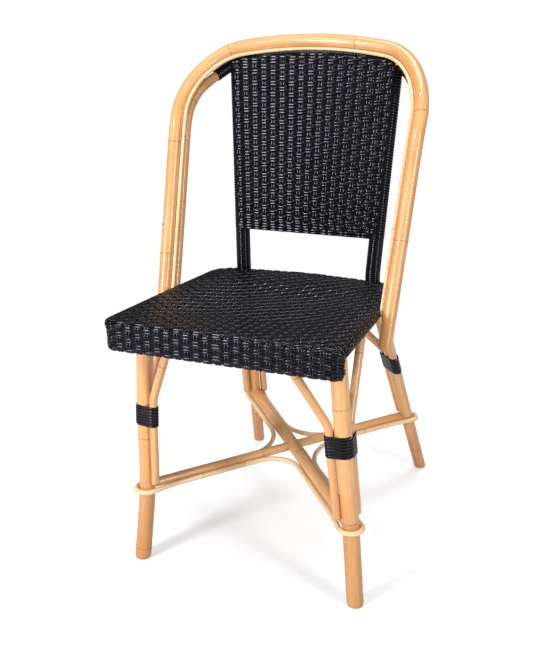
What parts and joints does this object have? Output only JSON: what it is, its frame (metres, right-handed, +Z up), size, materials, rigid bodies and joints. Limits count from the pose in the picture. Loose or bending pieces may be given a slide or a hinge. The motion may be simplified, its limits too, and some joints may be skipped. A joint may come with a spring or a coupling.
{
  "type": "rattan bistro chair",
  "caption": "Rattan cafe chair: bent tan poles, round hoop back, black woven box seat and back panel, crossed stretcher and black cane bindings.",
  "frame": {"origin": "on the floor, under the middle of the chair's bounding box", "axes": "+X to the right seen from the front, +Y from the front edge of the seat to the back, +Z up"},
  "size_m": [0.4554, 0.5861, 0.8744],
  "materials": {
    "rattan_pole": "satin varnish",
    "rattan_brace": "satin varnish",
    "stretcher_rattan": "satin varnish",
    "inner_rattan": "unvarnished",
    "trim_cane": "satin",
    "seat_weave": "satin flat cane",
    "back_weave": "satin flat cane",
    "black_binding": "glossy flat cane",
    "nail_steel": "plain"
  },
  "bodies": {
    "root": {"front_leg_left": "rattan_pole", "front_leg_right": "rattan_pole", "rear_post_left": "rattan_pole", "rear_post_right": "rattan_pole", "outer_hoop": "rattan_pole", "inner_hoop": "rattan_pole", "hoop_infill_cane": "trim_cane", "hoop_nail_corner": "nail_steel", "hoop_nail_crown": "nail_steel", "hoop_nail_left": "nail_steel", "hoop_nail_right": "nail_steel", "seat_front_bearer_rail": "inner_rattan", "seat_front_rim_rail": "inner_rattan", "seat_side_bearer_rail_left": "inner_rattan", "seat_side_bearer_rail_right": "inner_rattan", "seat_side_rim_rail_left": "inner_rattan", "seat_side_rim_rail_right": "inner_rattan", "seat_rear_bearer_rail": "inner_rattan", "seat_rear_rim_rail": "inner_rattan", "seat_apron_rail_lower": "inner_rattan", "seat_apron_rail_upper": "inner_rattan", "seat_weave": "seat_weave", "brace_front_leg_inner_left": "rattan_brace", "brace_front_leg_inner_right": "rattan_brace", "brace_front_leg_side_left": "rattan_brace", "brace_front_leg_side_right": "rattan_brace", "brace_rear_leg_inner_left": "rattan_brace", "brace_rear_leg_inner_right": "rattan_brace", "brace_rear_leg_side_left": "rattan_brace", "brace_rear_leg_side_right": "rattan_brace", "stretcher_half_front_left": "stretcher_rattan", "stretcher_half_rear_right": "stretcher_rattan", "stretcher_through": "stretcher_rattan", "trim_cane_front": "trim_cane", "trim_cane_rear": "trim_cane", "binding_front_leg_left": "black_binding", "binding_front_leg_right": "black_binding", "binding_rear_leg_left": "black_binding", "binding_rear_leg_right": "black_binding", "back_bottom_bar": "inner_rattan", "back_weave": "back_weave", "winding_hoop_corner_left": "black_binding", "winding_hoop_corner_right": "black_binding", "winding_rear_post_left": "black_binding", "winding_rear_post_right": "black_binding"}
  },
  "joints": []
}
